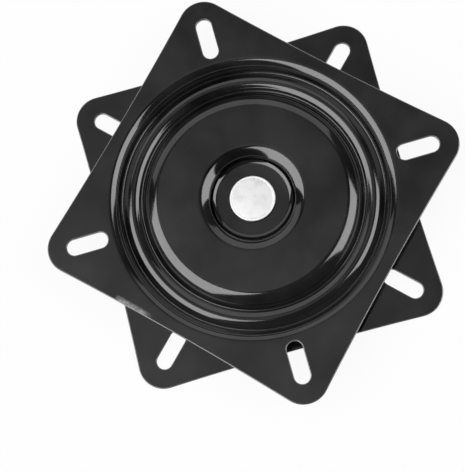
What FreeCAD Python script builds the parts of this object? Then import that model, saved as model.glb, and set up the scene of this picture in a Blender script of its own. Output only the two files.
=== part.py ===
import FreeCAD, Part
import math
import os

# Lazy susan bearing: two square pressed-steel plates that turn on a ring of balls.
# Millimetres. +Z is up, the origin is the bottom centre, and the base plate's underside is Z = 0.
# The top plate's edges run along X and Y. The base plate is turned by BASE_TURN.

# Driving sizes of both plates
PLATE_SIDE = 177.8
CORNER_RADIUS = 14.5
SIDE_BOW = 1.2
SHEET = 2.0
EDGE_ROUND = 0.35
OVERALL_HEIGHT = 22.4
BASE_TURN = 45.0

# Bolt slots, one near each corner along the diagonal: the metal left between slot and corner, and
# the flat metal left between slot and pressing
SLOT_WIDTH = 9.5
SLOT_OUTER_MARGIN = 10.97
SLOT_INNER_MARGIN = 2.35

# Both plates: how far each ring of the pressing lies inwards from the middle of a side
RIM_BEND_IN = 7.0
OUTER_GROOVE_IN = 14.4
BEAD_IN = 20.3
INNER_GROOVE_IN = 25.5
SHOULDER_IN = 35.8
BASE_FOOT_IN = 6.9
PLATEAU_EDGE_IN = 12.4

# Top plate: depths of the upper face under the rim, and bend radii of the upper face
RIM_BEND = 6.0
OUTER_GROOVE_DEPTH = 8.3
OUTER_GROOVE_BEND = 0.8
BEAD_DEPTH = 5.0
BEAD_OUTER_BEND = 5.3
BEAD_INNER_BEND = 6.2
BEAD_LIP_SLOPE = 35.0
BEAD_LIP_BEND = 2.2
INNER_GROOVE_DEPTH = 8.4
INNER_GROOVE_BEND = 0.6
SHOULDER_BEND = 9.2
DISC_DEPTH = 1.2

# Middle of the top plate: the recess, the moat at its foot and the boss round the kingpin
RECESS_START = 31.1
RECESS_BEND = 9.6
RECESS_LIP_SLOPE = 43.0
RECESS_LIP_BEND = 2.1
MOAT_AT = 23.2
MOAT_DEPTH = 10.6
MOAT_BEND = 0.6
BOSS_START = 20.7
BOSS_DEPTH = 9.8
BOSS_BEND = 2.4

# Balls and their cage
BALL_DIAMETER = 6.35
BALL_COUNT = 24
RACE_BEND = 3.4
RACE_GAP = 0.1
POCKET_GAP = 0.12
CAGE_THICKNESS = 1.2
CAGE_HALF_WIDTH = 4.4
CAGE_GAP = 0.25

# Base plate: the race's lips, the step down to the middle, and bend radii of the upper face
RACE_LIP = 5.2
RACE_LIP_BEND = 2.4
PLATEAU_BEND = 3.5
BASE_FOOT_BEND = 1.5
CENTRE_STEP_START = 46.0
CENTRE_STEP_END = 41.0
CENTRE_STEP_BEND = 2.5

# Kingpin, its cap washer and the thrust washers
HEAD_RADIUS = 13.0
HEAD_DEPTH = 5.7
HEAD_THICKNESS = 2.3
HEAD_BEVEL = 0.7
PIN_RADIUS = 8.0
TAIL_RADIUS = 6.0
RUNNING_GAP = 0.15
FIT_GAP = 0.05
CAP_SHEET = 0.9
CAP_FLOOR_RADIUS = 20.2
CAP_RIM_BEND = 3.4
CAP_RIM_SLOPE = 43.0
CAP_RIM_RUN = 0.15
THRUST_RADIUS = 18.5
LOWER_THRUST_RADIUS = 20.0
LOWER_THRUST_THICKNESS = 1.0
THRUST_GAP = 0.1
TAIL_WASHER_THICKNESS = 1.5
PEEN_RADIUS = 9.0
PEEN_HEIGHT = 2.2
PEEN_CROWN = 1.2

# Flat metal of the round pressing, outside its first bend, that joins it to the square rim
JOIN_MARGIN = 1.5
TOUCHING = 0.001

# Places and heights that follow from the sizes above
RIM_BEND_START = PLATE_SIDE / 2 - RIM_BEND_IN
OUTER_GROOVE_AT = PLATE_SIDE / 2 - OUTER_GROOVE_IN
BEAD_AT = PLATE_SIDE / 2 - BEAD_IN
INNER_GROOVE_AT = PLATE_SIDE / 2 - INNER_GROOVE_IN
SHOULDER_START = PLATE_SIDE / 2 - SHOULDER_IN
BASE_FOOT_AT = PLATE_SIDE / 2 - BASE_FOOT_IN
PLATEAU_EDGE = PLATE_SIDE / 2 - PLATEAU_EDGE_IN
CORNER_REACH = PLATE_SIDE / math.sqrt(2) - CORNER_RADIUS * (math.sqrt(2) - 1)
SLOT_OUTER_END = CORNER_REACH - SLOT_OUTER_MARGIN
SLOT_INNER_END = RIM_BEND_START + SLOT_INNER_MARGIN
BEAD_UNDERSIDE_Z = OVERALL_HEIGHT - BEAD_DEPTH - SHEET
BALL_RADIUS = BALL_DIAMETER / 2
BALL_Z = BEAD_UNDERSIDE_Z - RACE_GAP - BALL_RADIUS
RACE_FLOOR_Z = BALL_Z - BALL_RADIUS - RACE_GAP
CAGE_TOP_Z = OVERALL_HEIGHT - INNER_GROOVE_DEPTH - SHEET - CAGE_GAP
CAGE_BOTTOM_Z = CAGE_TOP_Z - CAGE_THICKNESS
PLATEAU_Z = CAGE_BOTTOM_Z - CAGE_GAP
TOP_FLOOR_Z = OVERALL_HEIGHT - BOSS_DEPTH
TOP_FLOOR_UNDERSIDE_Z = TOP_FLOOR_Z - SHEET
BASE_FLOOR_Z = TOP_FLOOR_UNDERSIDE_Z - THRUST_GAP - LOWER_THRUST_THICKNESS
BASE_FLOOR_UNDERSIDE_Z = BASE_FLOOR_Z - SHEET
HEAD_TOP_Z = OVERALL_HEIGHT - HEAD_DEPTH
CAP_FLOOR_Z = HEAD_TOP_Z - HEAD_THICKNESS
CAP_UNDERSIDE_Z = CAP_FLOOR_Z - CAP_SHEET
PIN_HOLE = PIN_RADIUS + RUNNING_GAP
TAIL_WASHER_RADIUS = HEAD_RADIUS
TAIL_WASHER_Z = BASE_FLOOR_UNDERSIDE_Z - TAIL_WASHER_THICKNESS

DIAGONAL = 45
ORIGIN = FreeCAD.Vector(0, 0, 0)
UP = FreeCAD.Vector(0, 0, 1)


def crest(radius, top_z, bend, sheet):
    """A bend that is high in the middle: its centre, and the sheet's mid-line radius, counted up."""
    return (radius, top_z - bend, bend - sheet / 2)


def groove(radius, top_z, bend, sheet):
    """A bend that is low in the middle: its centre, and the sheet's mid-line radius, counted down."""
    return (radius, top_z + bend, -(bend + sheet / 2))


def tighter(bend, slope, radius, sheet):
    """A crest that goes on from a wider one with a smaller radius, where it falls inwards at that slope."""
    step = bend[2] - (radius - sheet / 2)
    lean = math.radians(slope)
    return (bend[0] - step * math.sin(lean), bend[1] + step * math.cos(lean), radius - sheet / 2)


def end(radius, top_z, sheet):
    """An end of the sheet, on its mid-line."""
    return (radius, top_z - sheet / 2, 0.0)


def raised_end(bend, slope, run):
    """An end of the sheet outside a groove, past a straight run that rises outwards at that slope."""
    reach = -bend[2]
    lean = math.radians(slope)
    across = bend[0] + reach * math.sin(lean) + run * math.cos(lean)
    height = bend[1] - reach * math.cos(lean) + run * math.sin(lean)
    return (across, height, 0.0)


def tangent_normal(first, second):
    """The upward normal of the straight stretch that touches two bends, going inwards."""
    across = second[0] - first[0]
    rise = second[1] - first[1]
    reach = math.hypot(across, rise)
    share = (first[2] - second[2]) / reach
    if abs(share) > 1 + TOUCHING:
        raise ValueError("two neighbouring bends overlap")
    angle = math.atan2(rise, across) - math.acos(max(-1.0, min(1.0, share)))
    return math.cos(angle), math.sin(angle)


def touch_point(bend, normal, offset):
    """Where a straight stretch meets a bend, on the sheet's mid-line moved by the offset."""
    reach = bend[2] + offset
    return FreeCAD.Vector(bend[0] + reach * normal[0], 0, bend[1] + reach * normal[1])


def face_edges(bends, offset):
    """One face of the sheet, as straight stretches and tangent arcs from the first end to the last."""
    normals = [tangent_normal(a, b) for a, b in zip(bends, bends[1:])]
    edges = []
    start = touch_point(bends[0], normals[0], offset)
    for index, normal in enumerate(normals):
        finish = touch_point(bends[index + 1], normal, offset)
        if start.distanceToPoint(finish) < TOUCHING:
            finish = start
        else:
            edges.append(Part.makeLine(start, finish))
        if index + 1 < len(normals):
            following = normals[index + 1]
            middle = (normal[0] + following[0], normal[1] + following[1])
            length = math.hypot(middle[0], middle[1])
            halfway = touch_point(bends[index + 1], (middle[0] / length, middle[1] / length), offset)
            start = touch_point(bends[index + 1], following, offset)
            edges.append(Part.Arc(finish, halfway, start).toShape())
    return edges


def pressed_sheet(bends, sheet):
    """A round pressing of even thickness, turned about Z from its bends, outermost first."""
    upper = face_edges(bends, sheet / 2)
    lower = face_edges(bends, -sheet / 2)
    outer_wall = Part.makeLine(lower[0].Vertexes[0].Point, upper[0].Vertexes[0].Point)
    inner_wall = Part.makeLine(upper[-1].Vertexes[-1].Point, lower[-1].Vertexes[-1].Point)
    outline = Part.Wire(Part.__sortEdges__(upper + [inner_wall] + lower + [outer_wall]))
    return Part.Face(outline).revolve(ORIGIN, UP, 360)


def bowed_square(side, corner, bow, height, floor_z):
    """A block with four round corners and four sides along X and Y that bow slightly inwards."""
    reach = side / 2 - corner
    middle_distance = (reach * reach + bow * bow) / (2 * bow)
    lean = math.asin(reach / middle_distance)
    diagonal = math.radians(DIAGONAL)
    centre = FreeCAD.Vector(reach, reach, floor_z)
    first, peak, last = [
        centre + FreeCAD.Vector(corner * math.cos(angle), corner * math.sin(angle), 0)
        for angle in (-lean, diagonal, 2 * diagonal + lean)]
    hollow = FreeCAD.Vector(0, side / 2 - bow, floor_z)
    opposite = FreeCAD.Vector(-last.x, last.y, floor_z)
    edges = []
    for quarter in range(4):
        for points in ((first, peak, last), (last, hollow, opposite)):
            edge = Part.Arc(*points).toShape()
            edge.rotate(ORIGIN, UP, 2 * DIAGONAL * quarter)
            edges.append(edge)
    outline = Part.Wire(Part.__sortEdges__(edges))
    return Part.Face(outline).extrude(FreeCAD.Vector(0, 0, height))


def slot_block(angle, floor_z, height):
    """A long round-ended block that lies along the radius at the given angle."""
    half_width = SLOT_WIDTH / 2
    inner_centre = SLOT_INNER_END + half_width
    outer_centre = SLOT_OUTER_END - half_width
    block = Part.makeBox(outer_centre - inner_centre, SLOT_WIDTH, height)
    block.translate(FreeCAD.Vector(inner_centre, -half_width, floor_z))
    for centre in (inner_centre, outer_centre):
        block = block.fuse(Part.makeCylinder(half_width, height, FreeCAD.Vector(centre, 0, floor_z)))
    block = block.removeSplitter()
    block.rotate(ORIGIN, UP, angle)
    return block


def rim_edges(plate, join_radius):
    """The edges of the flat rim's outline and slots, above and below."""
    found = []
    for edge in plate.Edges:
        box = edge.BoundBox
        middle = edge.valueAt((edge.FirstParameter + edge.LastParameter) / 2)
        if box.ZLength < SHEET / 4 and math.hypot(middle.x, middle.y) > join_radius + SLOT_INNER_MARGIN / 8:
            found.append(edge)
    return found


def square_plate(pressing, join_radius, floor_z):
    """A square rim with four diagonal slots round a pressed middle, as one sheet."""
    rim = bowed_square(PLATE_SIDE, CORNER_RADIUS, SIDE_BOW, SHEET, floor_z)
    rim = rim.cut(Part.makeCylinder(join_radius, SHEET, FreeCAD.Vector(0, 0, floor_z)))
    for quarter in range(4):
        rim = rim.cut(slot_block(DIAGONAL + 2 * DIAGONAL * quarter, floor_z, SHEET))
    plate = rim.fuse(pressing).removeSplitter()
    return plate.makeFillet(EDGE_ROUND, rim_edges(plate, join_radius))


def top_plate():
    """The upper plate: a bead over the balls, a raised disc, and a moated boss round the kingpin."""
    join_radius = RIM_BEND_START + JOIN_MARGIN
    bead_z = OVERALL_HEIGHT - BEAD_DEPTH
    disc_z = OVERALL_HEIGHT - DISC_DEPTH
    bead_inner = crest(BEAD_AT, bead_z, BEAD_INNER_BEND, SHEET)
    recess = crest(RECESS_START, disc_z, RECESS_BEND, SHEET)
    bends = [
        end(join_radius, OVERALL_HEIGHT, SHEET),
        crest(RIM_BEND_START, OVERALL_HEIGHT, RIM_BEND, SHEET),
        groove(OUTER_GROOVE_AT, OVERALL_HEIGHT - OUTER_GROOVE_DEPTH, OUTER_GROOVE_BEND, SHEET),
        crest(BEAD_AT, bead_z, BEAD_OUTER_BEND, SHEET),
        bead_inner,
        tighter(bead_inner, BEAD_LIP_SLOPE, BEAD_LIP_BEND, SHEET),
        groove(INNER_GROOVE_AT, OVERALL_HEIGHT - INNER_GROOVE_DEPTH, INNER_GROOVE_BEND, SHEET),
        crest(SHOULDER_START, disc_z, SHOULDER_BEND, SHEET),
        recess,
        tighter(recess, RECESS_LIP_SLOPE, RECESS_LIP_BEND, SHEET),
        groove(MOAT_AT, OVERALL_HEIGHT - MOAT_DEPTH, MOAT_BEND, SHEET),
        crest(BOSS_START, TOP_FLOOR_Z, BOSS_BEND, SHEET),
        end(PIN_HOLE, TOP_FLOOR_Z, SHEET),
    ]
    return square_plate(pressed_sheet(bends, SHEET), join_radius, OVERALL_HEIGHT - SHEET)


def bottom_plate():
    """The base plate: a raised plateau with the ball race, and a lower middle under the kingpin."""
    join_radius = BASE_FOOT_AT + JOIN_MARGIN
    bends = [
        end(join_radius, SHEET, SHEET),
        groove(BASE_FOOT_AT, SHEET, BASE_FOOT_BEND, SHEET),
        crest(PLATEAU_EDGE, PLATEAU_Z, PLATEAU_BEND, SHEET),
        crest(BEAD_AT + RACE_LIP, PLATEAU_Z, RACE_LIP_BEND, SHEET),
        groove(BEAD_AT, RACE_FLOOR_Z, RACE_BEND, SHEET),
        crest(BEAD_AT - RACE_LIP, PLATEAU_Z, RACE_LIP_BEND, SHEET),
        crest(CENTRE_STEP_START, PLATEAU_Z, CENTRE_STEP_BEND, SHEET),
        groove(CENTRE_STEP_END, BASE_FLOOR_Z, CENTRE_STEP_BEND, SHEET),
        end(TAIL_RADIUS + FIT_GAP, BASE_FLOOR_Z, SHEET),
    ]
    plate = square_plate(pressed_sheet(bends, SHEET), join_radius, 0)
    plate.rotate(ORIGIN, UP, BASE_TURN)
    return plate


def turned(points):
    """A solid turned about Z from an outline of (radius, height) points."""
    corners = [FreeCAD.Vector(radius, 0, height) for radius, height in points]
    outline = Part.makePolygon(corners + [corners[0]])
    return Part.Face(outline).revolve(ORIGIN, UP, 360)


def ring(inner, outer, floor_z, thickness):
    """A flat washer."""
    body = Part.makeCylinder(outer, thickness, FreeCAD.Vector(0, 0, floor_z))
    return body.cut(Part.makeCylinder(inner, thickness, FreeCAD.Vector(0, 0, floor_z)))


def kingpin_rivet():
    """The centre rivet: a flat bevelled head, a shoulder, a thinner tail and its peened end."""
    end_z = TAIL_WASHER_Z - PEEN_HEIGHT
    return turned([
        (0, HEAD_TOP_Z),
        (HEAD_RADIUS - HEAD_BEVEL, HEAD_TOP_Z),
        (HEAD_RADIUS, HEAD_TOP_Z - HEAD_BEVEL),
        (HEAD_RADIUS, CAP_FLOOR_Z),
        (PIN_RADIUS, CAP_FLOOR_Z),
        (PIN_RADIUS, BASE_FLOOR_Z),
        (TAIL_RADIUS, BASE_FLOOR_Z),
        (TAIL_RADIUS, TAIL_WASHER_Z),
        (PEEN_RADIUS, TAIL_WASHER_Z),
        (PEEN_RADIUS - PEEN_CROWN / 2, TAIL_WASHER_Z - PEEN_CROWN),
        (PEEN_RADIUS - 2 * PEEN_CROWN, end_z),
        (0, end_z),
    ])


def cap_washer():
    """The pressed washer under the rivet head, with a turned-up rim."""
    rim_bend = groove(CAP_FLOOR_RADIUS, CAP_FLOOR_Z, CAP_RIM_BEND, CAP_SHEET)
    bends = [
        raised_end(rim_bend, CAP_RIM_SLOPE, CAP_RIM_RUN),
        rim_bend,
        end(PIN_RADIUS + FIT_GAP, CAP_FLOOR_Z, CAP_SHEET),
    ]
    return pressed_sheet(bends, CAP_SHEET)


def ball_place(index):
    """The centre of one ball."""
    angle = 2 * math.pi * index / BALL_COUNT
    return FreeCAD.Vector(BEAD_AT * math.cos(angle), BEAD_AT * math.sin(angle), BALL_Z)


def ball_retainer():
    """The flat ring whose pockets keep the balls apart."""
    cage = ring(BEAD_AT - CAGE_HALF_WIDTH, BEAD_AT + CAGE_HALF_WIDTH, CAGE_BOTTOM_Z, CAGE_THICKNESS)
    for index in range(BALL_COUNT):
        place = ball_place(index)
        foot = FreeCAD.Vector(place.x, place.y, CAGE_BOTTOM_Z)
        cage = cage.cut(Part.makeCylinder(BALL_RADIUS + POCKET_GAP, CAGE_THICKNESS, foot))
    return cage


def all_parts():
    """Every sub-part by its node name."""
    upper_z = TOP_FLOOR_Z + THRUST_GAP
    pin_hole = PIN_RADIUS + FIT_GAP
    parts = {
        "top_plate": top_plate(),
        "bottom_plate": bottom_plate(),
        "kingpin_rivet": kingpin_rivet(),
        "cap_washer": cap_washer(),
        "upper_thrust_washer": ring(pin_hole, THRUST_RADIUS, upper_z, CAP_UNDERSIDE_Z - upper_z),
        "lower_thrust_washer": ring(pin_hole, LOWER_THRUST_RADIUS, BASE_FLOOR_Z, LOWER_THRUST_THICKNESS),
        "tail_washer": ring(TAIL_RADIUS + FIT_GAP, TAIL_WASHER_RADIUS, TAIL_WASHER_Z, TAIL_WASHER_THICKNESS),
        "ball_retainer": ball_retainer(),
    }
    for index in range(BALL_COUNT):
        ball = Part.makeSphere(BALL_RADIUS)
        ball.translate(ball_place(index))
        parts["ball_%02d" % (index + 1)] = ball
    return parts


os.makedirs("parts", exist_ok=True)
for name, shape in all_parts().items():
    box = shape.BoundBox
    print("%-20s valid %s solids %d volume %.1f z %.3f to %.3f" % (
        name, shape.isValid(), len(shape.Solids), shape.Volume, box.ZMin, box.ZMax))
    shape.exportStep("parts/%s.step" % name)
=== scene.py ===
# %% [markdown]
# # A lazy susan bearing in gloss black enamel
# Two square plates of pressed steel have a ring of balls between them. The lower plate is screwed down,
# and the upper one carries what turns. The upper plate shows best: a flat rim with a slot near each corner,
# a round dish with a bead over the balls, a raised disc, and a recess round the kingpin's silver head.
# All sizes are in metres and all places are in the bearing's own frame, with Z along the turning axis.
# The CAD model's nodes are loaded first. They stay where they are, and give the sizes of what is made here.

import math

import bmesh
import bpy
from mathutils import Matrix, Vector


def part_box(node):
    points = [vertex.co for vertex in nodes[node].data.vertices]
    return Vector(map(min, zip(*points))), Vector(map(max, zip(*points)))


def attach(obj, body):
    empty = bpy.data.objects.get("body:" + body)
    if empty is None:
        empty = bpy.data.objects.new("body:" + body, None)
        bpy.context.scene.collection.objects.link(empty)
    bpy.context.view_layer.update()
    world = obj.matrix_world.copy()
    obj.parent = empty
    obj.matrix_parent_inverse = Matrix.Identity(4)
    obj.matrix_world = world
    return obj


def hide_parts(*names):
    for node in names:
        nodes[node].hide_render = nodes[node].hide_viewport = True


MM = 0.001

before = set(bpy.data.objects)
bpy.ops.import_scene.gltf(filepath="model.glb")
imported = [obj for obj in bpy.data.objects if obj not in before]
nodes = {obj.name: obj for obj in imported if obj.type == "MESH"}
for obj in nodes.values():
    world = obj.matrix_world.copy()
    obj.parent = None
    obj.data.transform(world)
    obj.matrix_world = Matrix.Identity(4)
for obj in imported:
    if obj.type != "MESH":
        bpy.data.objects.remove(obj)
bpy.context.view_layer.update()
top_low, top_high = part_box("top_plate")
base_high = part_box("bottom_plate")[1]
ball_low, ball_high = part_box("ball_01")
pin_low, pin_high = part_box("kingpin_rivet")
print("nodes:", len(nodes), "overall height in mm:", round(top_high.z / MM, 2))

# %% [markdown]
# ## The camera
# The photograph looks down on the bearing, 12 degrees off its axis, with a long lens and the camera
# rolled a little. A camera is a place, the point it aims at, a roll and a lens. Two cross products give
# the camera's own right and up, and one more turn about the line of sight is the roll.

# %% Placing the camera
CAMERA_PLACE = Vector((123.4, -97.0, 694.1)) * MM
CAMERA_AIM = Vector((1.7, -24.6, 22.4)) * MM
CAMERA_ROLL = math.radians(-30.06)
LENS = 94.07
SENSOR = 36.0
FARTHEST = 100.0


def place_camera():
    """The photograph's own view."""
    data = bpy.data.cameras.new("camera")
    data.lens = LENS
    data.sensor_width = SENSOR
    data.clip_end = FARTHEST
    camera = bpy.data.objects.new("camera", data)
    bpy.context.scene.collection.objects.link(camera)
    line_of_sight = (CAMERA_AIM - CAMERA_PLACE).normalized()
    right = line_of_sight.cross(Vector((0, 0, 1))).normalized()
    upright = right.cross(line_of_sight)
    level = Matrix((right, upright, -line_of_sight)).transposed()
    rolled = level @ Matrix.Rotation(CAMERA_ROLL, 3, "Z")
    camera.matrix_world = Matrix.Translation(CAMERA_PLACE) @ rolled.to_4x4()
    bpy.context.scene.camera = camera
    return camera


place_camera()
print("camera distance in mm:", round((CAMERA_AIM - CAMERA_PLACE).length / MM))

# %% [markdown]
# ## Light for black gloss
# Black enamel has almost no colour of its own, so what the eye sees is the room mirrored in it. A flat
# face mirrors one spot of the ceiling, and a bend mirrors everything from the ceiling to the horizon in a
# narrow stripe. So the lamps are large rectangles, and the dark gaps between them draw the thin black
# lines beside every flat. A lamp is given by the azimuth and zenith it hangs at, those its back points
# to, a roll about its own line, half its width and height, and how bright its face is.

# %% Hanging the softboxes
LAMP_DISTANCE = 2.2


def direction(azimuth, zenith):
    """The unit vector at an azimuth from X and an angle from straight up, both in degrees."""
    turn = math.radians(azimuth)
    lean = math.radians(zenith)
    return Vector((math.sin(lean) * math.cos(turn), math.sin(lean) * math.sin(turn), math.cos(lean)))


def softbox(name, place, back, roll, half_width, half_height, radiance):
    """A rectangular lamp. `place` is where it hangs and `back` where its back points, as two angles each."""
    data = bpy.data.lights.new(name, "AREA")
    data.shape = "RECTANGLE"
    data.size = 2 * half_width
    data.size_y = 2 * half_height
    data.energy = radiance * math.pi * data.size * data.size_y
    lamp = bpy.data.objects.new(name, data)
    bpy.context.scene.collection.objects.link(lamp)
    upright = direction(*back).to_track_quat("Z", "Y").to_matrix()
    rolled = upright @ Matrix.Rotation(math.radians(roll), 3, "Z")
    lamp.matrix_world = Matrix.Translation(direction(*place) * LAMP_DISTANCE) @ rolled.to_4x4()
    lamp.visible_camera = False
    print(name, "hangs at", [round(value, 2) for value in lamp.matrix_world.translation])


softbox("softbox_left", place=(229.9, 35.3), back=(246.5, 62.4), roll=1.3,
        half_width=1.034, half_height=1.283, radiance=3.0)
softbox("softbox_right", place=(29.5, 44.7), back=(18.8, 59.1), roll=-4.9,
        half_width=0.682, half_height=1.054, radiance=3.0)
softbox("softbox_back", place=(152.9, 42.5), back=(124.5, 90.6), roll=-3.0,
        half_width=1.811, half_height=1.087, radiance=0.6)

# %% [markdown]
# ## Masks from numbers
# A shader can't branch, so a shape in it is made of masks, which are numbers from 0 to 1. Four small
# helpers are enough for the room, the floor and the marks in the enamel: the parts of a coordinate,
# a change of scale, one sum or product, and a window that is open between two limits and fades at both.

# %% Building masks
def parts_of(tree, kind):
    """The X, Y and Z of one kind of texture coordinate."""
    coordinates = tree.nodes.new("ShaderNodeTexCoord")
    split = tree.nodes.new("ShaderNodeSeparateXYZ")
    tree.links.new(coordinates.outputs[kind], split.inputs[0])
    return split.outputs


def map_range(tree, source, low, high, start, end):
    """A clamped change of scale."""
    node = tree.nodes.new("ShaderNodeMapRange")
    node.inputs["From Min"].default_value = low
    node.inputs["From Max"].default_value = high
    node.inputs["To Min"].default_value = start
    node.inputs["To Max"].default_value = end
    tree.links.new(source, node.inputs["Value"])
    return node.outputs["Result"]


def combine(tree, first, second, operation="MULTIPLY", clamp=False):
    """One math node on two sockets, or on a socket and a number."""
    node = tree.nodes.new("ShaderNodeMath")
    node.operation = operation
    node.use_clamp = clamp
    tree.links.new(first, node.inputs[0])
    if isinstance(second, float):
        node.inputs[1].default_value = second
    else:
        tree.links.new(second, node.inputs[1])
    return node.outputs[0]


def window(tree, source, limits):
    """A mask that rises from the first limit to the second and falls from the third to the last."""
    outer, inner, other_inner, other_outer = limits
    rise = map_range(tree, source, outer, inner, 0.0, 1.0)
    fall = map_range(tree, source, other_inner, other_outer, 1.0, 0.0)
    return combine(tree, rise, fall)


print("mask helpers:", [helper.__name__ for helper in (parts_of, map_range, combine, window)])

# %% [markdown]
# ## The room
# The room is dim, and pale along the horizon. The flat faces mirror the ceiling over the bearing, which
# is a little lighter and grows paler towards the left softbox. A world shader paints this by direction:
# each part of a direction runs from -1 to 1, and a window in X and one in Y bound the lighter ceiling.
# The pale band fades out between two angles above the horizon, in degrees.

# %% Making the room
ROOM_RADIANCE = 0.04
CEILING_NEAR = 0.315
CEILING_FAR = 0.13
CEILING_REACH = 0.26
CEILING_X = (-0.37, -0.33, -0.01, 0.04)
CEILING_Y = (-0.12, -0.06, 0.30, 0.35)
CEILING_LOWEST = 0.1
HORIZON_ANGLES = (3.0, 8.0)


def make_room():
    """A world that is pale at the horizon, dim above it, and lighter again overhead."""
    world = bpy.data.worlds.new("studio")
    bpy.context.scene.world = world
    world.use_nodes = True
    tree = world.node_tree
    tree.nodes.clear()
    out = tree.nodes.new("ShaderNodeOutputWorld")
    background = tree.nodes.new("ShaderNodeBackground")
    part = parts_of(tree, "Generated")
    low, high = [math.sin(math.radians(angle)) for angle in HORIZON_ANGLES]
    horizon = map_range(tree, part["Z"], low, high, 1.0, ROOM_RADIANCE)
    ceiling = map_range(tree, part["Y"], 0.0, CEILING_REACH, CEILING_NEAR, CEILING_FAR)
    ceiling = combine(tree, ceiling, window(tree, part["X"], CEILING_X))
    ceiling = combine(tree, ceiling, window(tree, part["Y"], CEILING_Y))
    ceiling = combine(tree, ceiling, map_range(tree, part["Z"], 0.0, CEILING_LOWEST, 0.0, 1.0))
    tree.links.new(combine(tree, horizon, ceiling, "ADD"), background.inputs["Strength"])
    tree.links.new(background.outputs["Background"], out.inputs["Surface"])
    background.inputs["Color"].default_value = (1, 1, 1, 1)
    return world


room = make_room()
print("nodes in the room:", len(room.node_tree.nodes))

# %% [markdown]
# ## The floor
# The floor is plain and pale. The camera sees it mostly as flat white, as in a catalogue, with a faint
# trace of the bearing's shadow. Light Path tells which rays come from the eye, straight, mirrored or
# through glass, and only those see the white, so that it throws no extra light on the object.
# Backfacing makes the floor clear from below, so that the underside can be looked at too.

# %% Making the floor
FLOOR_RADIUS = 30.0
FLOOR_SEGMENTS = 64
FLOOR_WHITE = 0.85
FLAT_WHITE_SHARE = 0.92
FLOOR_DROP = 0.02 * MM


def mix_shaders(tree, share, first, second):
    """The first shader where the share is 0, and the second where it is 1."""
    mix = tree.nodes.new("ShaderNodeMixShader")
    tree.links.new(share, mix.inputs["Fac"])
    tree.links.new(first, mix.inputs[1])
    tree.links.new(second, mix.inputs[2])
    return mix.outputs["Shader"]


def floor_paint():
    """Pale paint that the eye sees as white, and sees through from below."""
    material = bpy.data.materials.new("floor_white")
    material.use_nodes = True
    tree = material.node_tree
    tree.nodes.clear()
    out = tree.nodes.new("ShaderNodeOutputMaterial")
    paint = tree.nodes.new("ShaderNodeBsdfDiffuse")
    paint.inputs["Color"].default_value = (FLOOR_WHITE, FLOOR_WHITE, FLOOR_WHITE, 1)
    flat = tree.nodes.new("ShaderNodeEmission")
    flat.inputs["Strength"].default_value = 1.0
    clear = tree.nodes.new("ShaderNodeBsdfTransparent")
    path = tree.nodes.new("ShaderNodeLightPath")
    facing = tree.nodes.new("ShaderNodeNewGeometry")
    seen = combine(tree, path.outputs["Is Camera Ray"], path.outputs["Is Glossy Ray"], "ADD", clamp=True)
    seen = combine(tree, seen, path.outputs["Is Transmission Ray"], "ADD", clamp=True)
    share = combine(tree, seen, FLAT_WHITE_SHARE)
    front = mix_shaders(tree, share, paint.outputs["BSDF"], flat.outputs["Emission"])
    both = mix_shaders(tree, facing.outputs["Backfacing"], front, clear.outputs["BSDF"])
    tree.links.new(both, out.inputs["Surface"])
    return material


def make_floor():
    """A round pale floor just under the base plate."""
    mesh = bpy.data.meshes.new("floor")
    bm = bmesh.new()
    bmesh.ops.create_circle(bm, cap_ends=True, radius=FLOOR_RADIUS, segments=FLOOR_SEGMENTS)
    bmesh.ops.translate(bm, verts=bm.verts, vec=(0, 0, -FLOOR_DROP))
    bm.to_mesh(mesh)
    bm.free()
    floor = bpy.data.objects.new("floor", mesh)
    bpy.context.scene.collection.objects.link(floor)
    mesh.materials.append(floor_paint())
    return floor


floor = make_floor()
bpy.context.scene.view_settings.view_transform = "Standard"
print("floor corners:", len(floor.data.vertices), "view transform:",
      bpy.context.scene.view_settings.view_transform)

# %% [markdown]
# ## The section of a pressed sheet
# Each plate is one sheet of even thickness, bent over rings of a press tool. Its section is therefore
# a chain of circles, high ones and low ones, joined by the straight lines that touch two neighbours.
# A bend is kept as its centre (radius from the axis, height) and its own radius at the sheet's middle,
# which counts as negative where the bend is low. An end of the sheet is a bend with no radius.

# %% Describing the bends
SHEET = 2.0 * MM


def crest(radius, top, bend, sheet=SHEET):
    """A bend that is high in the middle. `top` and `bend` are measured on the sheet's upper face."""
    return (radius, top - bend, bend - sheet / 2)


def groove(radius, top, bend, sheet=SHEET):
    """A bend that is low in the middle. `top` and `bend` are measured on the sheet's upper face."""
    return (radius, top + bend, -(bend + sheet / 2))


def sheet_end(radius, top, sheet=SHEET):
    """An end of the sheet, on its mid-line."""
    return (radius, top - sheet / 2, 0.0)


def tighter(bend, slope, radius, sheet=SHEET):
    """A crest that goes on from a wider one with a smaller radius, where the sheet falls at a slope."""
    step = bend[2] - (radius - sheet / 2)
    lean = math.radians(slope)
    return (bend[0] - step * math.sin(lean), bend[1] + step * math.cos(lean), radius - sheet / 2)


def raised_end(bend, slope, run):
    """An end of the sheet outside a groove, past a straight run that rises outwards at a slope."""
    reach = -bend[2]
    lean = math.radians(slope)
    across = bend[0] + reach * math.sin(lean) + run * math.cos(lean)
    height = bend[1] - reach * math.cos(lean) + run * math.sin(lean)
    return (across, height, 0.0)


print("sheet in mm:", SHEET / MM)

# %% [markdown]
# The line that touches two circles leaves both at the same angle, which follows from the distance of
# their centres and the sum or difference of their radii. With these angles known, the walk along one
# face of the sheet is a run of short arcs, and the straight stretches come by themselves.

# %% Walking along the sheet
ARC_STEP = math.radians(5)


def tangent_angle(first, second):
    """The angle of the upward normal of the straight stretch between two bends, going inwards."""
    across = second[0] - first[0]
    rise = second[1] - first[1]
    share = (first[2] - second[2]) / math.hypot(across, rise)
    return math.atan2(rise, across) - math.acos(max(-1.0, min(1.0, share)))


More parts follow.
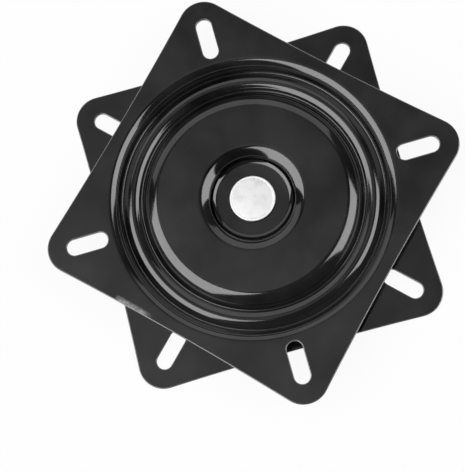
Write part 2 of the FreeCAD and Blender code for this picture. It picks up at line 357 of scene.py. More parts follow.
def face_points(bends, offset):
    """Points (radius, height) along one face of the sheet, from the first end to the last."""
    angles = [tangent_angle(a, b) for a, b in zip(bends, bends[1:])]
    angles = [angles[0]] + angles + [angles[-1]]
    points = []
    for bend, before, after in zip(bends, angles, angles[1:]):
        after = before + math.remainder(after - before, 2 * math.pi)
        reach = bend[2] + offset if bend[2] else offset
        steps = max(1, math.ceil(abs(after - before) / ARC_STEP))
        for step in range(steps + 1 if after != before else 1):
            angle = before + (after - before) * step / steps
            points.append((bend[0] + reach * math.cos(angle), bend[1] + reach * math.sin(angle)))
    return points


def both_faces(bends, sheet=SHEET):
    """The whole section: along the upper face inwards, and back along the lower one."""
    return face_points(bends, sheet / 2) + face_points(bends, -sheet / 2)[::-1]


print("steps in a quarter bend:", math.ceil(math.pi / 2 / ARC_STEP))

# %% [markdown]
# ## The outlines of a plate
# A plate is cut as a square with round corners. The press draws its sides in a little, so each side is a
# very flat arc that runs into the corners without a kink. The slots lie on the diagonals. Both
# outlines can be asked for at an inset from the cut, which is how the rounded edges are made later.

# %% Drawing the outlines
PLATE_SIDE = top_high.x - top_low.x
CORNER_RADIUS = 14.5 * MM
SIDE_BOW = 1.2 * MM
SLOT_REACH = 96.5 * MM
SLOT_LENGTH = 24.1 * MM
SLOT_WIDTH = 9.1 * MM
CORNER_STEPS = 16
SIDE_STEPS = 24
QUARTER = math.pi / 2


def arc(centre, radius, start, sweep, steps):
    """Points on an arc, both ends included."""
    points = []
    for step in range(steps + 1):
        angle = start + sweep * step / steps
        points.append(Vector((centre[0] + radius * math.cos(angle), centre[1] + radius * math.sin(angle))))
    return points


def plate_outline(inset):
    """The rounded square with sides bowed inwards, moved inwards by the inset."""
    reach = PLATE_SIDE / 2 - CORNER_RADIUS
    between = (reach * reach + SIDE_BOW * SIDE_BOW) / (2 * SIDE_BOW)
    lean = math.asin(reach / between)
    far = PLATE_SIDE / 2 - SIDE_BOW + between - CORNER_RADIUS
    points = []
    for quarter in range(4):
        turn = Matrix.Rotation(quarter * QUARTER, 2)
        corner = arc((reach, reach), CORNER_RADIUS - inset, -lean, QUARTER + 2 * lean, CORNER_STEPS)
        side = arc((0, far), between - CORNER_RADIUS + inset, lean - QUARTER, -2 * lean, SIDE_STEPS)[1:-1]
        points += [turn @ point for point in corner + side]
    return points


def slot_outline(corner, inset):
    """One slot on a diagonal, made wider by the inset."""
    half_run = (SLOT_LENGTH - SLOT_WIDTH) / 2
    radius = SLOT_WIDTH / 2 + inset
    points = arc((SLOT_REACH + half_run, 0), radius, -QUARTER, math.pi, CORNER_STEPS)
    points += arc((SLOT_REACH - half_run, 0), radius, QUARTER, math.pi, CORNER_STEPS)
    turn = Matrix.Rotation(QUARTER / 2 + corner * QUARTER, 2)
    return [turn @ point for point in points]


print("points on the plate's outline:", len(plate_outline(0.0)), "and on a slot:", len(slot_outline(0, 0.0)))

# %% [markdown]
# ## Sheared edges
# The shears roll the upper edge of the sheet over, and the paint rounds the lower one. In a photograph
# the roll is the fine light line that tells the two black plates apart, so it has to be real geometry:
# a short stack of outlines, each a little larger or smaller than the last. A narrow flat strip
# follows, so that the edge's smooth shading can't leak into the mirror flat. The faces of the rounding
# get a material slot of their own, for a paler enamel that paints the glint along the edge: a painted
# highlight.

# %% Rounding the sheared edges
EDGE_STEPS = 4
SHEAR_ROLL = 0.55 * MM
EDGE_ROUND = 0.6 * MM
FLAT_MARGIN = 0.05 * MM
EDGE_HIGHLIGHT_SLOT = 1


def ring_of_verts(bm, points, height):
    """A closed loop of vertices at one height."""
    return [bm.verts.new((point.x, point.y, height)) for point in points]


def bridge(bm, lower, upper, slot=0):
    """Quads between two loops with as many points, in one material slot."""
    count = len(lower)
    for index in range(count):
        after = (index + 1) % count
        face = bm.faces.new((lower[index], lower[after], upper[after], upper[index]))
        face.smooth = True
        face.material_index = slot


def quarter_round(size):
    """A rounding from the flat to the wall, as (inset from the wall, depth below the flat)."""
    angles = [QUARTER * step / EDGE_STEPS for step in range(EDGE_STEPS + 1)]
    return [(size * (1 - math.sin(angle)), size * (1 - math.cos(angle))) for angle in angles]


def rounded_wall(bm, outline, top, sheet=SHEET):
    """The edge of the sheet round one outline; gives back its upper and lower loop."""
    # From the top: a flat strip, the shear roll, the wall, the lower rounding and a flat strip.
    bottom = top - sheet
    upper = [(inset, top - depth) for inset, depth in quarter_round(SHEAR_ROLL)]
    lower = [(inset, bottom + depth) for inset, depth in quarter_round(EDGE_ROUND)]
    section = [(SHEAR_ROLL + FLAT_MARGIN, top)] + upper + lower[::-1] + [(EDGE_ROUND + FLAT_MARGIN, bottom)]
    loops = [ring_of_verts(bm, outline(inset), height) for inset, height in section]
    for index, (above, below) in enumerate(zip(loops, loops[1:])):
        on_rounding = 0 < index <= EDGE_STEPS or EDGE_STEPS + 1 < index <= 2 * EDGE_STEPS + 1
        # Faces on the roundings take the paler enamel, a painted highlight for the edge's glint.
        bridge(bm, below, above, EDGE_HIGHLIGHT_SLOT if on_rounding else 0)
    return loops[0], loops[-1]


print("points in a rounding:", len(quarter_round(EDGE_ROUND)))

# %% [markdown]
# ## Turning and filling
# The round pressing is the section turned about the axis, with enough steps that a mirror finish shows
# no facets. The flat rim round it has no bend at all, so its two faces are each one flat fill between
# the round pressing, the four slots and the outline. A bmesh holds all of this until it is closed.

# %% Turning sections and filling flats
TURN_STEPS = 288
SHARP_ANGLE = math.radians(35)


def circle_points(radius):
    """One turn of the pressing."""
    turns = [2 * math.pi * step / TURN_STEPS for step in range(TURN_STEPS)]
    return [Vector((radius * math.cos(turn), radius * math.sin(turn))) for turn in turns]


def turned_loops(bm, profile):
    """The profile's points, each turned into a loop, and the quads between them."""
    loops = [ring_of_verts(bm, circle_points(radius), height) for radius, height in profile]
    for outer, inner in zip(loops, loops[1:]):
        bridge(bm, outer, inner)
    return loops


def fill_flat(bm, loops):
    """One flat face between loops, as triangles that stay flat shaded."""
    edges = []
    for loop in loops:
        for pair in zip(loop, loop[1:] + loop[:1]):
            edges.append(bm.edges.get(pair) or bm.edges.new(pair))
    filled = bmesh.ops.triangle_fill(bm, edges=edges, use_beauty=True)
    for item in filled["geom"]:
        if isinstance(item, bmesh.types.BMFace):
            item.smooth = False


def mesh_object(name, bm):
    """Closes a bmesh into an object with its faces pointing outwards."""
    bmesh.ops.recalc_face_normals(bm, faces=bm.faces)
    mesh = bpy.data.meshes.new(name)
    bm.to_mesh(mesh)
    bm.free()
    mesh.set_sharp_from_angle(angle=SHARP_ANGLE)
    piece = bpy.data.objects.new(name, mesh)
    bpy.context.scene.collection.objects.link(piece)
    return piece


def square_plate(name, bends, top, turn):
    """A whole plate: its pressing, its flat rim, its slots and its rounded edges."""
    bm = bmesh.new()
    loops = turned_loops(bm, both_faces(bends))
    uppers = [loops[0]]
    lowers = [loops[-1]]
    outlines = [plate_outline]
    outlines += [lambda inset, corner=corner: slot_outline(corner, inset) for corner in range(4)]
    for outline in outlines:
        upper, lower = rounded_wall(bm, outline, top)
        uppers.append(upper)
        lowers.append(lower)
    fill_flat(bm, uppers)
    fill_flat(bm, lowers)
    bmesh.ops.rotate(bm, verts=bm.verts, matrix=Matrix.Rotation(turn, 3, "Z"))
    return mesh_object(name, bm)


print("steps in a turn:", TURN_STEPS)

# %% [markdown]
# ## The upper plate
# The upper plate's bends, from the rim inwards: the outer groove, the bead over the balls, the inner
# groove, the raised disc, and the recess, which holds a low moat and a boss round the kingpin. `_AT`
# is a distance from the axis, and a depth is counted down from the rim's upper face. The bead and the
# brink of the recess each turn more tightly on their inner side, as the mirrored lamps show.

# %% Pressing the upper plate
RIM_TOP = top_high.z
JOIN_MARGIN = 1.5 * MM
RIM_BEND_START = 81.9 * MM
RIM_BEND = 6.0 * MM
OUTER_GROOVE_AT = 74.5 * MM
OUTER_GROOVE_DEPTH = 8.3 * MM
GROOVE_BEND = 0.8 * MM
BEAD_AT = 68.6 * MM
BEAD_DEPTH = 5.0 * MM
BEAD_OUTER_BEND = 5.3 * MM
BEAD_INNER_BEND = 6.2 * MM
BEAD_LIP_SLOPE = 35
BEAD_LIP_BEND = 2.2 * MM
INNER_GROOVE_AT = 63.5 * MM
INNER_GROOVE_DEPTH = 8.4 * MM
SHOULDER_AT = 53.1 * MM
SHOULDER_BEND = 9.2 * MM
DISC_DEPTH = 1.2 * MM
RECESS_AT = 31.1 * MM
RECESS_BEND = 9.6 * MM
RECESS_LIP_SLOPE = 43
RECESS_LIP_BEND = 2.1 * MM
MOAT_AT = 23.2 * MM
MOAT_DEPTH = 10.6 * MM
MOAT_BEND = 0.6 * MM
BOSS_AT = 20.7 * MM
BOSS_DEPTH = 9.8 * MM
BOSS_BEND = 2.4 * MM
PIN_RADIUS = 8.0 * MM
RUNNING_GAP = 0.15 * MM

bead_inner = crest(BEAD_AT, RIM_TOP - BEAD_DEPTH, BEAD_INNER_BEND)
recess = crest(RECESS_AT, RIM_TOP - DISC_DEPTH, RECESS_BEND)
top_bends = [
    sheet_end(RIM_BEND_START + JOIN_MARGIN, RIM_TOP),
    crest(RIM_BEND_START, RIM_TOP, RIM_BEND),
    groove(OUTER_GROOVE_AT, RIM_TOP - OUTER_GROOVE_DEPTH, GROOVE_BEND),
    crest(BEAD_AT, RIM_TOP - BEAD_DEPTH, BEAD_OUTER_BEND),
    bead_inner,
    tighter(bead_inner, BEAD_LIP_SLOPE, BEAD_LIP_BEND),
    groove(INNER_GROOVE_AT, RIM_TOP - INNER_GROOVE_DEPTH, GROOVE_BEND),
    crest(SHOULDER_AT, RIM_TOP - DISC_DEPTH, SHOULDER_BEND),
    recess,
    tighter(recess, RECESS_LIP_SLOPE, RECESS_LIP_BEND),
    groove(MOAT_AT, RIM_TOP - MOAT_DEPTH, MOAT_BEND),
    crest(BOSS_AT, RIM_TOP - BOSS_DEPTH, BOSS_BEND),
    sheet_end(PIN_RADIUS + RUNNING_GAP, RIM_TOP - BOSS_DEPTH),
]
top_plate = square_plate("top_plate_enamelled", top_bends, RIM_TOP, 0.0)
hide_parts("top_plate")
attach(top_plate, "seat_plate")
print("upper plate faces:", len(top_plate.data.polygons))

# %% [markdown]
# ## The lower plate
# The lower plate has the same rim, turned by an eighth of a turn. Its middle rises to a plateau that
# holds the ball race, and steps down again to a floor round the kingpin's tail. The race is centred on
# the ring of balls, whose radius is read from the first ball, which lies on the X axis.

# %% Pressing the lower plate
BASE_TURN = math.radians(45)
BASE_FOOT_AT = 82.0 * MM
BASE_FOOT_BEND = 1.5 * MM
PLATEAU_TOP = base_high.z
PLATEAU_EDGE = 76.5 * MM
PLATEAU_BEND = 3.5 * MM
RACE_AT = (ball_low.x + ball_high.x) / 2
RACE_LIP = 5.2 * MM
RACE_LIP_BEND = 2.4 * MM
RACE_BEND = 3.4 * MM
RACE_GAP = 0.1 * MM
RACE_FLOOR = ball_low.z - RACE_GAP
CENTRE_STEP_START = 46.0 * MM
CENTRE_STEP_END = 41.0 * MM
CENTRE_STEP_BEND = 2.5 * MM
BASE_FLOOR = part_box("lower_thrust_washer")[0].z
TAIL_RADIUS = 6.0 * MM
FIT_GAP = 0.05 * MM

base_bends = [
    sheet_end(BASE_FOOT_AT + JOIN_MARGIN, SHEET),
    groove(BASE_FOOT_AT, SHEET, BASE_FOOT_BEND),
    crest(PLATEAU_EDGE, PLATEAU_TOP, PLATEAU_BEND),
    crest(RACE_AT + RACE_LIP, PLATEAU_TOP, RACE_LIP_BEND),
    groove(RACE_AT, RACE_FLOOR, RACE_BEND),
    crest(RACE_AT - RACE_LIP, PLATEAU_TOP, RACE_LIP_BEND),
    crest(CENTRE_STEP_START, PLATEAU_TOP, CENTRE_STEP_BEND),
    groove(CENTRE_STEP_END, BASE_FLOOR, CENTRE_STEP_BEND),
    sheet_end(TAIL_RADIUS + FIT_GAP, BASE_FLOOR),
]
bottom_plate = square_plate("bottom_plate_enamelled", base_bends, SHEET, BASE_TURN)
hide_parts("bottom_plate")
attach(bottom_plate, "base")
print("lower plate faces:", len(bottom_plate.data.polygons))
print("race in mm from the axis:", round(RACE_AT / MM, 2))

# %% [markdown]
# ## The cap washer
# The washer under the kingpin's head is thin sheet with a flat floor and a rim that turns up. It is
# described by bends as the plates are, and its section is turned about the axis.

# %% Turning the cap washer
CAP_SHEET = 0.9 * MM
PIN_TOP = pin_high.z
HEAD_THICKNESS = 2.3 * MM
CAP_FLOOR = PIN_TOP - HEAD_THICKNESS
CAP_FLOOR_RADIUS = 20.2 * MM
CAP_RIM_BEND = 3.4 * MM
CAP_RIM_SLOPE = 43
CAP_RIM_RUN = 0.15 * MM
TOUCHING = 0.001 * MM


def turned_piece(name, profile):
    """An outline of (radius, height) points turned about the axis. It is closed, or ends on the axis."""
    bm = bmesh.new()
    on_axis = profile[0][0] == 0
    loops = turned_loops(bm, profile if on_axis else profile + [profile[0]])
    bmesh.ops.remove_doubles(bm, verts=loops[0] + loops[-1], dist=TOUCHING)
    return mesh_object(name, bm)


cap_rim = groove(CAP_FLOOR_RADIUS, CAP_FLOOR, CAP_RIM_BEND, CAP_SHEET)
cap_bends = [
    raised_end(cap_rim, CAP_RIM_SLOPE, CAP_RIM_RUN),
    cap_rim,
    sheet_end(PIN_RADIUS + FIT_GAP, CAP_FLOOR, CAP_SHEET),
]
cap_washer = turned_piece("cap_washer_enamelled", both_faces(cap_bends, CAP_SHEET))
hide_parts("cap_washer")
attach(cap_washer, "base")
print("cap washer faces:", len(cap_washer.data.polygons))

# %% [markdown]
# ## The kingpin
# The kingpin is a rivet. Its head was pressed flat by a tool that left a fine ring inside the edge,
# and that ring, the rounded edge and the dull face are all that shows of it from above. Below, its tail
# is spread over a washer. The outline runs down the outside from the middle of the head.

# %% Turning the kingpin
HEAD_RADIUS = (pin_high.x - pin_low.x) / 2
HEAD_EDGE = 0.7 * MM
TOOL_RING = 11.6 * MM
TOOL_RING_WIDTH = 0.35 * MM
TOOL_RING_DEPTH = 0.14 * MM
PEEN_RADIUS = 9.0 * MM
PEEN_CROWN = 1.2 * MM
SMALL_STEPS = 6


def pressed_ring(radius, height, width, depth):
    """A fine groove with a round section, from its inner lip to its outer one."""
    points = []
    for step in range(-SMALL_STEPS, SMALL_STEPS + 1):
        share = step / SMALL_STEPS
        points.append((radius + share * width, height - depth * (1 + math.cos(math.pi * share)) / 2))
    return points


def rounded_edge(radius, height, size):
    """The rounding at the top of a turned edge, from the face down to the side."""
    points = []
    for step in range(SMALL_STEPS + 1):
        angle = QUARTER * step / SMALL_STEPS
        points.append((radius - size + size * math.sin(angle), height - size + size * math.cos(angle)))
    return points


def peened_end(radius, low, crown):
    """The low crown of the spread tail, from its side to its face. It is twice as wide as it is high."""
    points = []
    for step in range(1, SMALL_STEPS + 1):
        angle = QUARTER * step / SMALL_STEPS
        points.append((radius - 2 * crown * (1 - math.cos(angle)), low + crown * (1 - math.sin(angle))))
    return points


washer_low, washer_high = [corner.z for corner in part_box("tail_washer")]
pin_profile = [(0, PIN_TOP)]
pin_profile += pressed_ring(TOOL_RING, PIN_TOP, TOOL_RING_WIDTH, TOOL_RING_DEPTH)
pin_profile += rounded_edge(HEAD_RADIUS, PIN_TOP, HEAD_EDGE)
pin_profile += [
    (HEAD_RADIUS, CAP_FLOOR),
    (PIN_RADIUS, CAP_FLOOR),
    (PIN_RADIUS, washer_high + SHEET),
    (TAIL_RADIUS, washer_high + SHEET),
    (TAIL_RADIUS, washer_low),
    (PEEN_RADIUS, washer_low),
]
pin_profile += peened_end(PEEN_RADIUS, pin_low.z, PEEN_CROWN)
pin_profile += [(0, pin_low.z)]
kingpin = turned_piece("kingpin_zinc", pin_profile)
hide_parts("kingpin_rivet")
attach(kingpin, "base")
print("kingpin faces:", len(kingpin.data.polygons))

# %% [markdown]
# ## The ring of balls
# Twenty-four equal balls sit in the cage, evenly round the axis. Geometry Nodes place one ball on every
# point of a circle, so the count and the sizes are inputs of one small tree. A modifier's input is set
# by its socket's identifier, so the function also gives those back.

# %% Planting the tree for the balls
BALL_SEGMENTS = 40
BALL_RINGS = 20


def ball_tree():
    """A tree that sets balls on a circle, and the identifiers of its inputs."""
    tree = bpy.data.node_groups.new("ball_ring", "GeometryNodeTree")
    sockets = {}
    tree.interface.new_socket("Geometry", in_out="INPUT", socket_type="NodeSocketGeometry")
    for name, kind in (("Count", "Int"), ("Ring Radius", "Float"), ("Ball Radius", "Float"),
                       ("Height", "Float"), ("Material", "Material")):
        socket = tree.interface.new_socket(name, in_out="INPUT", socket_type="NodeSocket" + kind)
        sockets[name] = socket.identifier
    tree.interface.new_socket("Geometry", in_out="OUTPUT", socket_type="NodeSocketGeometry")
    given = tree.nodes.new("NodeGroupInput")
    out = tree.nodes.new("NodeGroupOutput")
    circle = tree.nodes.new("GeometryNodeMeshCircle")
    lift = tree.nodes.new("ShaderNodeCombineXYZ")
    place = tree.nodes.new("GeometryNodeSetPosition")
    ball = tree.nodes.new("GeometryNodeMeshUVSphere")
    ball.inputs["Segments"].default_value = BALL_SEGMENTS
    ball.inputs["Rings"].default_value = BALL_RINGS
    copies = tree.nodes.new("GeometryNodeInstanceOnPoints")
    smooth = tree.nodes.new("GeometryNodeSetShadeSmooth")
    real = tree.nodes.new("GeometryNodeRealizeInstances")
    paint = tree.nodes.new("GeometryNodeSetMaterial")
    link = tree.links.new
    link(given.outputs["Count"], circle.inputs["Vertices"])
    link(given.outputs["Ring Radius"], circle.inputs["Radius"])
    link(given.outputs["Height"], lift.inputs["Z"])
    link(circle.outputs["Mesh"], place.inputs["Geometry"])
    link(lift.outputs["Vector"], place.inputs["Offset"])
    link(given.outputs["Ball Radius"], ball.inputs["Radius"])
    link(place.outputs["Geometry"], copies.inputs["Points"])
    link(ball.outputs["Mesh"], copies.inputs["Instance"])
    link(copies.outputs["Instances"], smooth.inputs["Geometry"])
    link(smooth.outputs["Geometry"], real.inputs["Geometry"])
    link(real.outputs["Geometry"], paint.inputs["Geometry"])
    link(given.outputs["Material"], paint.inputs["Material"])
    link(paint.outputs["Geometry"], out.inputs["Geometry"])
    return tree, sockets


tree, sockets = ball_tree()
print("inputs of the tree:", list(sockets))

# %% [markdown]
# The tree hangs on an empty object only until its result is copied. The balls turn with the cage, so
# they become one plain mesh that rides on the cage's body.

# %% Growing the balls
def grown(name, tree, sockets, values):
    """The plain mesh that a tree makes with the given values."""
    seed = bpy.data.objects.new(name + "_seed", bpy.data.meshes.new(name + "_seed"))
    bpy.context.scene.collection.objects.link(seed)
    modifier = seed.modifiers.new(name, "NODES")
    modifier.node_group = tree
    for socket, value in values.items():
        modifier[sockets[socket]] = value
    evaluated = seed.evaluated_get(bpy.context.evaluated_depsgraph_get())
    mesh = bpy.data.meshes.new_from_object(evaluated)
    bpy.data.objects.remove(seed)
    mesh.name = name
    piece = bpy.data.objects.new(name, mesh)
    bpy.context.scene.collection.objects.link(piece)
    return piece


steel = bpy.data.materials.new("ball_steel")
ball_names = sorted(name for name in nodes if name.startswith("ball_") and name != "ball_retainer")
balls = grown("ball_ring", tree, sockets, {
    "Count": len(ball_names),
    "Ring Radius": RACE_AT,
    "Ball Radius": (ball_high.z - ball_low.z) / 2,
    "Height": (ball_high.z + ball_low.z) / 2,
    "Material": steel,
})
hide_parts(*ball_names)
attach(balls, "ball_cage")
print("balls:", len(ball_names), "faces:", len(balls.data.polygons))

# %% [markdown]
# ## Effects that several finishes share
# Each effect is a node group with named inputs, read from Object coordinates, so that it stays on the
# metal as the bearing turns. `grain` is a soft cloud between two values, for a roughness that isn't even.
# `waviness` is a height, for the orange peel of the paint and the dull grain of the zinc. `specks` is
# a mask of small scattered dots, for dust and nicks.

# %% Building the shared groups
CLOUD_EDGES = (0.35, 0.65)


def node_group(name, inputs, output):
    """An empty shader group with named inputs and one named output."""
    group = bpy.data.node_groups.new(name, "ShaderNodeTree")
    for label, value in inputs.items():
        socket = group.interface.new_socket(label, in_out="INPUT", socket_type="NodeSocketFloat")
        socket.default_value = value
    group.interface.new_socket(output, in_out="OUTPUT", socket_type="NodeSocketFloat")
    return group, group.nodes.new("NodeGroupInput"), group.nodes.new("NodeGroupOutput")


def noise(group, scale, detail):
    """A noise texture in Object coordinates whose scale comes from a socket."""
    coordinates = group.nodes.new("ShaderNodeTexCoord")
    texture = group.nodes.new("ShaderNodeTexNoise")
    texture.inputs["Detail"].default_value = detail
    group.links.new(coordinates.outputs["Object"], texture.inputs["Vector"])
    group.links.new(scale, texture.inputs["Scale"])
    return texture.outputs["Fac"]


def make_grain():
    """A soft cloud between Low and High."""
    group, given, out = node_group("grain", {"Scale": 100.0, "Low": 0.1, "High": 0.3}, "Value")
    spread = group.nodes.new("ShaderNodeMapRange")
    spread.inputs["From Min"].default_value, spread.inputs["From Max"].default_value = CLOUD_EDGES
    group.links.new(noise(group, given.outputs["Scale"], detail=4.0), spread.inputs["Value"])
    group.links.new(given.outputs["Low"], spread.inputs["To Min"])
    group.links.new(given.outputs["High"], spread.inputs["To Max"])
    group.links.new(spread.outputs["Result"], out.inputs["Value"])
    return group


def make_waviness():
    """A height that waves gently."""
    group, given, out = node_group("waviness", {"Scale": 400.0}, "Height")
    group.links.new(noise(group, given.outputs["Scale"], detail=1.0), out.inputs["Height"])
    return group


def make_specks():
    """Scattered dots; a larger Share gives more of them."""
    group, given, out = node_group("specks", {"Scale": 500.0, "Share": 0.1}, "Mask")
    coordinates = group.nodes.new("ShaderNodeTexCoord")
    cells = group.nodes.new("ShaderNodeTexVoronoi")
    group.links.new(coordinates.outputs["Object"], cells.inputs["Vector"])
    group.links.new(given.outputs["Scale"], cells.inputs["Scale"])
    dot = group.nodes.new("ShaderNodeMapRange")
    dot.inputs["To Min"].default_value = 1.0
    dot.inputs["To Max"].default_value = 0.0
    group.links.new(cells.outputs["Distance"], dot.inputs["Value"])
    group.links.new(given.outputs["Share"], dot.inputs["From Max"])
    group.links.new(dot.outputs["Result"], out.inputs["Mask"])
    return group


GRAIN = make_grain()
WAVINESS = make_waviness()
SPECKS = make_specks()
print("shared groups:", GRAIN.name, WAVINESS.name, SPECKS.name)

# %% [markdown]
# ## Helpers for the finishes
# A finish starts as one Principled shader with plain values. Then a group is placed in its tree, its
# normal is waved, and its colour is faded to a marked one by a mask. The Mix node has sockets for
# several kinds of data under the same names, so its colour sockets are found by their numbers.

# %% Placing groups in a material
MIX_FACTOR, MIX_PLAIN, MIX_MARKED, MIX_RESULT = 0, 6, 7, 2


def start_finish(material, colour, metallic, roughness):
    """One Principled shader with its plain values."""
    material.use_nodes = True
    shader = material.node_tree.nodes["Principled BSDF"]
    shader.inputs["Base Color"].default_value = (*colour, 1)
    shader.inputs["Metallic"].default_value = metallic
    shader.inputs["Roughness"].default_value = roughness
    return material.node_tree, shader


def placed(tree, group, **values):
    """A group in a material, with its own values; gives back its one output."""
    node = tree.nodes.new("ShaderNodeGroup")
    node.node_tree = group
    for label, value in values.items():
        node.inputs[label].default_value = value
    return node.outputs[0]


def waved(tree, shader, scale, distance):
    """Waves the normal of a shader; the distance is the height of the waves."""
    bump = tree.nodes.new("ShaderNodeBump")
    bump.inputs["Strength"].default_value = 1.0
    bump.inputs["Distance"].default_value = distance
    tree.links.new(placed(tree, WAVINESS, Scale=scale), bump.inputs["Height"])
    tree.links.new(bump.outputs["Normal"], shader.inputs["Normal"])


def faded(tree, mask, plain, marked):
    """A colour that goes from plain to marked where the mask is 1. Plain is a colour or a socket."""
    mix = tree.nodes.new("ShaderNodeMix")
    mix.data_type = "RGBA"
    if isinstance(plain, tuple):
        mix.inputs[MIX_PLAIN].default_value = (*plain, 1)
    else:
        tree.links.new(plain, mix.inputs[MIX_PLAIN])
    mix.inputs[MIX_MARKED].default_value = (*marked, 1)
    tree.links.new(mask, mix.inputs[MIX_FACTOR])
    return mix.outputs[MIX_RESULT]


def dress(piece, *materials):
    """Puts materials in a piece's slots, in order; its faces keep their slot numbers."""
    slots = piece.data.materials
    for index, material in enumerate(materials):
        if index < len(slots):
            slots[index] = material
        else:
            slots.append(material)


print("pieces to dress:", len(nodes) - len(ball_names) + 1)

# %% [markdown]
# ## Black enamel
# Baked enamel is a black body under a clear gloss skin. It is almost a mirror, but it has
# a faint orange peel that frays the edges of the lamps in it, cloudy smudges from handling, and a little
# dust. Its colour is so dark that nearly all of its brightness comes from the reflections. On the
# sheared edges a paler enamel paints the glint of the rounding into the colour: a painted highlight.

# %% Mixing the enamel
ENAMEL = (0.002, 0.002, 0.0024)
ENAMEL_SMUDGE = (0.014, 0.014, 0.014)
ENAMEL_DUST = (0.06, 0.06, 0.06)
ENAMEL_EDGE_HIGHLIGHT = (0.13, 0.13, 0.13)


def mix_enamel(name, body=ENAMEL, smudged=ENAMEL_SMUDGE):
    """The enamel, with its tree, its shader and the socket of its colour for later marks."""
    material = bpy.data.materials.new(name)
    tree, shader = start_finish(material, body, metallic=0.0, roughness=0.12)
    shader.inputs["IOR"].default_value = 1.75
    shader.inputs["Coat Weight"].default_value = 0.5
    shader.inputs["Coat Roughness"].default_value = 0.05
    tree.links.new(placed(tree, GRAIN, Scale=60.0, Low=0.09, High=0.14), shader.inputs["Roughness"])
    smudge = placed(tree, GRAIN, Scale=38.0, Low=0.0, High=1.0)
    dust = placed(tree, SPECKS, Scale=260.0, Share=0.06)
    colour = faded(tree, dust, faded(tree, smudge, body, smudged), ENAMEL_DUST)
    tree.links.new(colour, shader.inputs["Base Color"])
    waved(tree, shader, scale=350.0, distance=0.0035 * MM)
    return material, tree, shader, colour


# The paler enamel paints the glint along the sheared edges: a painted highlight.
edge_highlight_enamel = mix_enamel("enamel_painted_edge_highlight", body=ENAMEL_EDGE_HIGHLIGHT, smudged=ENAMEL_DUST)[0]
enamel = mix_enamel("enamel_gloss")[0]
dress(bottom_plate, enamel, edge_highlight_enamel)
dress(cap_washer, enamel)
print("enamels:", enamel.name, edge_highlight_enamel.name)

# %% [markdown]
# The upper plate has one scuff beside its edge, so it gets an enamel of its own. The mark is a window
# in X times a window in Y, both in the plate's own coordinates, and broken up by grain.

# %% Scuffing the upper plate
ENAMEL_SCUFF = (0.34, 0.34, 0.34)
SCUFF_X = [limit * MM for limit in (-39.0, -36.0, -21.0, -15.0)]
SCUFF_Y = [limit * MM for limit in (-88.4, -87.2, -86.2, -84.4)]

scuffed, tree, shader, colour = mix_enamel("enamel_scuffed")
part = parts_of(tree, "Object")
scuff = combine(tree, window(tree, part["X"], SCUFF_X), window(tree, part["Y"], SCUFF_Y))
scuff = combine(tree, scuff, placed(tree, GRAIN, Scale=700.0, Low=0.35, High=1.0))
tree.links.new(faded(tree, scuff, colour, ENAMEL_SCUFF), shader.inputs["Base Color"])
dress(top_plate, scuffed, edge_highlight_enamel)
# Counts the faces that carry the painted highlight of the edges.
for piece in (top_plate, bottom_plate):
    edge_highlight_faces = sum(face.material_index == EDGE_HIGHLIGHT_SLOT for face in piece.data.polygons)
    print(piece.name, "faces with thin paint:", edge_highlight_faces)

# %% [markdown]
# ## Zinc
# Bright zinc plating scatters light softly, is a little cloudy, and is marked by small nicks. The rounded
# edge of the head gets a paler zinc, a painted highlight that keeps it bright all round, and its side
# gets the black enamel, a painted shade for the shadow under the head. One piece therefore has three
# materials, and each face is given its slot by where it lies.

# %% Mixing the zinc
ZINC = (0.90, 0.90, 0.90)
ZINC_CLOUD = (0.80, 0.80, 0.80)
ZINC_NICK = (0.70, 0.70, 0.71)
# The paler zinc for the head's rounded edge is a painted highlight.
HEAD_EDGE_HIGHLIGHT = (0.97, 0.97, 0.97)
# The head's side below this depth is painted black: a painted shade for the shadow under the head.
SHADE_BELOW_TOP = 0.45 * MM
PAINTED_SHADE_SLOT, PAINTED_HIGHLIGHT_EDGE = 1, 2


def mix_zinc(name, colour, cloudy, nick, metallic, low, high):
    """Zinc plating with soft clouds in its colour and its roughness, which lies between low and high."""
    material = bpy.data.materials.new(name)
    tree, shader = start_finish(material, colour, metallic=metallic, roughness=low)
    tree.links.new(placed(tree, GRAIN, Scale=260.0, Low=low, High=high), shader.inputs["Roughness"])
    cloud = placed(tree, GRAIN, Scale=170.0, Low=-0.6, High=1.0)
    nicks = placed(tree, SPECKS, Scale=300.0, Share=0.2)
    tree.links.new(faded(tree, nicks, faded(tree, cloud, colour, cloudy), nick), shader.inputs["Base Color"])
    waved(tree, shader, scale=700.0, distance=0.004 * MM)
    return material


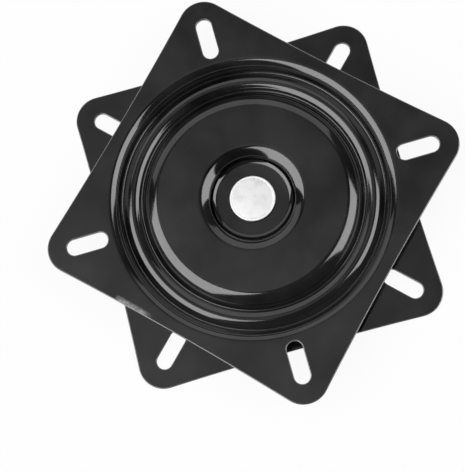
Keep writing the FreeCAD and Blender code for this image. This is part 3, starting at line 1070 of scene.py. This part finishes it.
zinc = mix_zinc("zinc", ZINC, cloudy=ZINC_CLOUD, nick=ZINC_NICK, metallic=0.7, low=0.52, high=0.62)
# A paler, rougher zinc for the head's rounded edge: a painted highlight.
painted_highlight = mix_zinc("zinc_painted_highlight", HEAD_EDGE_HIGHLIGHT, cloudy=HEAD_EDGE_HIGHLIGHT, nick=ZINC,
                     metallic=0.2, low=0.45, high=0.55)
dress(kingpin, zinc, enamel, painted_highlight)
dress(nodes["tail_washer"], zinc)
# Faces on the head's side get the black enamel as painted shade, and those on its outer top edge the paler
# zinc as painted highlight.
for face in kingpin.data.polygons:
    out_from_axis = math.hypot(face.center.x, face.center.y)
    if CAP_FLOOR < face.center.z < PIN_TOP - SHADE_BELOW_TOP:
        face.material_index = PAINTED_SHADE_SLOT
    elif face.center.z >= PIN_TOP - SHADE_BELOW_TOP and out_from_axis > TOOL_RING + TOOL_RING_WIDTH:
        face.material_index = PAINTED_HIGHLIGHT_EDGE
# Counts the faces painted black as shade.
painted_shade_faces = sum(face.material_index == PAINTED_SHADE_SLOT for face in kingpin.data.polygons)
print("faces of the rivet under enamel:", painted_shade_faces)

# %% [markdown]
# ## Ball steel and nylon
# The balls are hardened steel, polished and lightly greased: a smooth metal with a brownish film in
# soft clouds. The two thrust washers and the cage are natural nylon, off white, softly wavy and finely
# specked.

# %% Mixing the steel and the nylon
STEEL = (0.70, 0.70, 0.71)
GREASE = (0.36, 0.30, 0.18)
NYLON = (0.78, 0.76, 0.70)
NYLON_SPECK = (0.45, 0.42, 0.36)

tree, shader = start_finish(steel, STEEL, metallic=1.0, roughness=0.15)
tree.links.new(placed(tree, GRAIN, Scale=300.0, Low=0.08, High=0.25), shader.inputs["Roughness"])
film = placed(tree, GRAIN, Scale=120.0, Low=0.0, High=0.6)
tree.links.new(faded(tree, film, STEEL, GREASE), shader.inputs["Base Color"])

nylon = bpy.data.materials.new("nylon")
tree, shader = start_finish(nylon, NYLON, metallic=0.0, roughness=0.4)
tree.links.new(placed(tree, GRAIN, Scale=150.0, Low=0.32, High=0.48), shader.inputs["Roughness"])
specks = placed(tree, SPECKS, Scale=300.0, Share=0.08)
tree.links.new(faded(tree, specks, NYLON, NYLON_SPECK), shader.inputs["Base Color"])
waved(tree, shader, scale=500.0, distance=0.01 * MM)
for name in ("upper_thrust_washer", "lower_thrust_washer", "ball_retainer"):
    dress(nodes[name], nylon)
print("materials:", [material.name for material in (enamel, zinc, steel, nylon)])

# %% A box as numbers
def plain(box):
    """A box as lists of numbers."""
    return [list(map(float, corner)) for corner in box]
